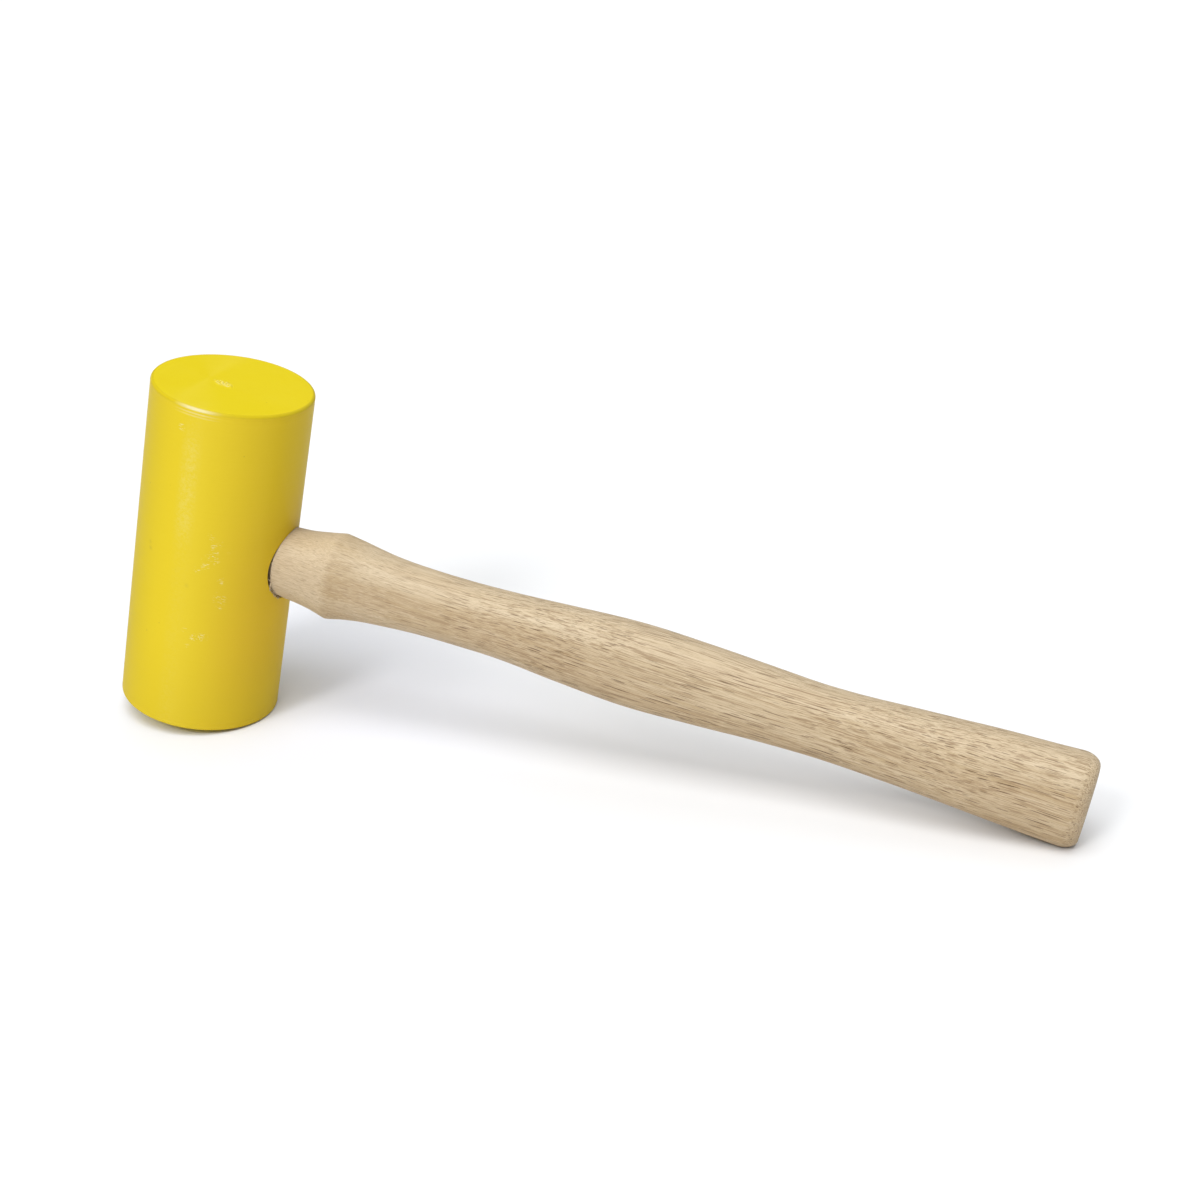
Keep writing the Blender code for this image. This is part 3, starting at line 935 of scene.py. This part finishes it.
def wedge_wood():
    """Browner wood, driven in end first and bruised."""
    n = Nodes("wedge_wood")
    place = n.tool_coordinates()
    grain = n.noise(n.stretched(place, (1 / 8, 1 / 0.5, 1 / 0.9)), 1.0, 4.0, 0.65)
    distance, _ = n.cells(n.stretched(place, (1 / 12, 1 / 0.5, 1 / 0.5)))
    pore = n.ramp(distance, 0.16, 0.26, 1.0, 0.0)
    colour = n.mix(n.ramp(grain, 0.3, 0.7), WEDGE_BROWN, WEDGE_TAN)
    colour = n.tinge(colour, pore, 0.7, WEDGE_PORE)
    normal = n.bump(n.math("SUBTRACT", grain, pore), 0.12 * MM, 0.7)
    return n.finish(colour, n.ramp(grain, 0.2, 0.8, 0.6, 0.8), normal, Specular_IOR_Level=0.3)


def steel():
    """Dull mild steel with scale, struck bright in places."""
    n = Nodes("wedge_steel")
    place = n.tool_coordinates()
    blotch = n.noise(place, 0.7, 4.0, 0.6)
    fine = n.noise(n.stretched(place, (0.6, 4.0, 4.0)), 1.0, 4.0, 0.6)
    colour = n.mix(n.ramp(blotch, 0.40, 0.72), STEEL, STEEL_SCALE)
    colour = n.tinge(colour, n.ramp(fine, 0.55, 0.8), 0.35, STEEL_BRIGHT)
    roughness = n.ramp(blotch, 0.3, 0.7, 0.30, 0.62)
    normal = n.bump(blotch, 0.04 * MM, 0.4)
    return n.finish(colour, roughness, n.bump(fine, 0.015 * MM, 0.4, normal), Metallic=1.0)


def repaint(node, material):
    """Give a CAD node that stays in view a better material."""
    piece = frame["nodes"][node]
    piece.data.materials.clear()
    piece.data.materials.append(material)
    bevel = piece.modifiers.new("worn edges", "BEVEL")
    bevel.width = WORN_EDGE
    bevel.segments = 3


# ------------------------------------------------------------ stage

def make_floor():
    """A wide matt white floor, painted bluer near the head against the yellow light that the head throws on
    it.
    """
    mesh = bpy.data.meshes.new("floor")
    half = FLOOR_HALF
    corners = [(-half, -half, 0), (half, -half, 0), (half, half, 0), (-half, half, 0)]
    mesh.from_pydata(corners, [], [(0, 1, 2, 3)])
    floor = bpy.data.objects.new("floor", mesh)
    bpy.context.scene.collection.objects.link(floor)
    n = Nodes("floor_white")
    place = n.add("ShaderNodeTexCoord").outputs["Object"]
    colour = n.mix(n.noise(place, 8.0), *FLOOR_WHITES)
    apart = n.add("ShaderNodeVectorMath", operation="DISTANCE")
    n.link(place, apart.inputs[0])
    apart.inputs[1].default_value = (LOWER.x, LOWER.y, 0.0)
    by_head = n.ramp(apart.outputs["Value"], BY_HEAD_FROM, BY_HEAD_TO, 1.0, 0.0)
    colour = n.mix(by_head, colour, FLOOR_BY_HEAD)
    n.feed(n.shader.inputs["Base Color"], colour)
    n.shader.inputs["Roughness"].default_value = 0.9
    mesh.materials.append(n.material)


def direction(azimuth, elevation):
    """Unit vector from the tool towards a camera or light at these angles."""
    a, e = math.radians(azimuth), math.radians(elevation)
    return Vector((math.sin(a) * math.cos(e), -math.cos(a) * math.cos(e), math.sin(e)))


def make_camera():
    """The photo's camera, as fitted to the outlines of the head and the handle."""
    camera = bpy.data.objects.new("camera", bpy.data.cameras.new("camera"))
    camera.data.sensor_width = 36.0
    camera.data.lens = CAMERA_LENS
    camera.data.clip_start = 0.02
    back = direction(CAMERA_AZIMUTH, CAMERA_ELEVATION)
    roll = Matrix.Rotation(math.radians(CAMERA_ROLL), 3, "Z").to_quaternion()
    camera.rotation_mode = "QUATERNION"
    camera.rotation_quaternion = (-back).to_track_quat("-Z", "Y") @ roll
    camera.location = CAMERA_AIM + back * CAMERA_DISTANCE
    bpy.context.scene.collection.objects.link(camera)
    bpy.context.scene.camera = camera


def make_lights():
    """A small key light, wide soft lights around and above, and a dim room."""
    for name, azimuth, elevation, width, strength in SUNS:
        add_sun(name, azimuth, elevation, width, strength)
    make_world()
    bpy.context.scene.view_settings.view_transform = "Standard"


def add_sun(name, azimuth, elevation, width, strength):
    """A light that comes from far away, over a disc of the sky as many degrees wide."""
    sun = bpy.data.objects.new(name, bpy.data.lights.new(name, "SUN"))
    sun.data.angle = math.radians(width)
    sun.data.energy = strength
    sun.rotation_mode = "QUATERNION"
    sun.rotation_quaternion = direction(azimuth, elevation).to_track_quat("Z", "Y")
    bpy.context.scene.collection.objects.link(sun)


def make_world():
    """Light from all around, dimmer near the horizon."""
    world = bpy.data.worlds.new("studio")
    world.use_nodes = True
    tree = world.node_tree
    place = tree.nodes.new("ShaderNodeTexCoord")
    split = tree.nodes.new("ShaderNodeSeparateXYZ")
    level = tree.nodes.new("ShaderNodeMapRange")
    level.interpolation_type = "SMOOTHSTEP"
    numbers = {"From Min": 0.0, "From Max": ROOM_FULL_AT, "To Min": ROOM_DIM, "To Max": ROOM_BRIGHT}
    for key, number in numbers.items():
        level.inputs[key].default_value = number
    tree.links.new(place.outputs["Generated"], split.inputs[0])
    tree.links.new(split.outputs["Z"], level.inputs["Value"])
    tree.links.new(level.outputs[0], tree.nodes["Background"].inputs["Strength"])
    tree.nodes["Background"].inputs["Color"].default_value = (*ROOM_COLOUR, 1.0)
    bpy.context.scene.world = world


def main():
    """Set the stage and build every piece."""
    make_camera()
    make_lights()
    make_floor()
    head = new_piece("mallet_head", head_shape(), plastic(), "head_plastic", "head")
    mark(head, "wear", (*SCUFFS, *loose_scuffs()), SCUFF_REACH)
    mark(head, "dirt", SPOTS, SPOT_REACH)
    timber = wood()
    new_piece("mallet_handle", handle_shape(), timber, "handle_wood", "handle")
    new_piece("shavings", shavings_shape(), timber, "handle_wood")
    repaint("wooden_wedge", wedge_wood())
    metal = steel()
    for name in ("steel_wedge_upper", "steel_wedge_lower"):
        repaint(name, metal)


main()
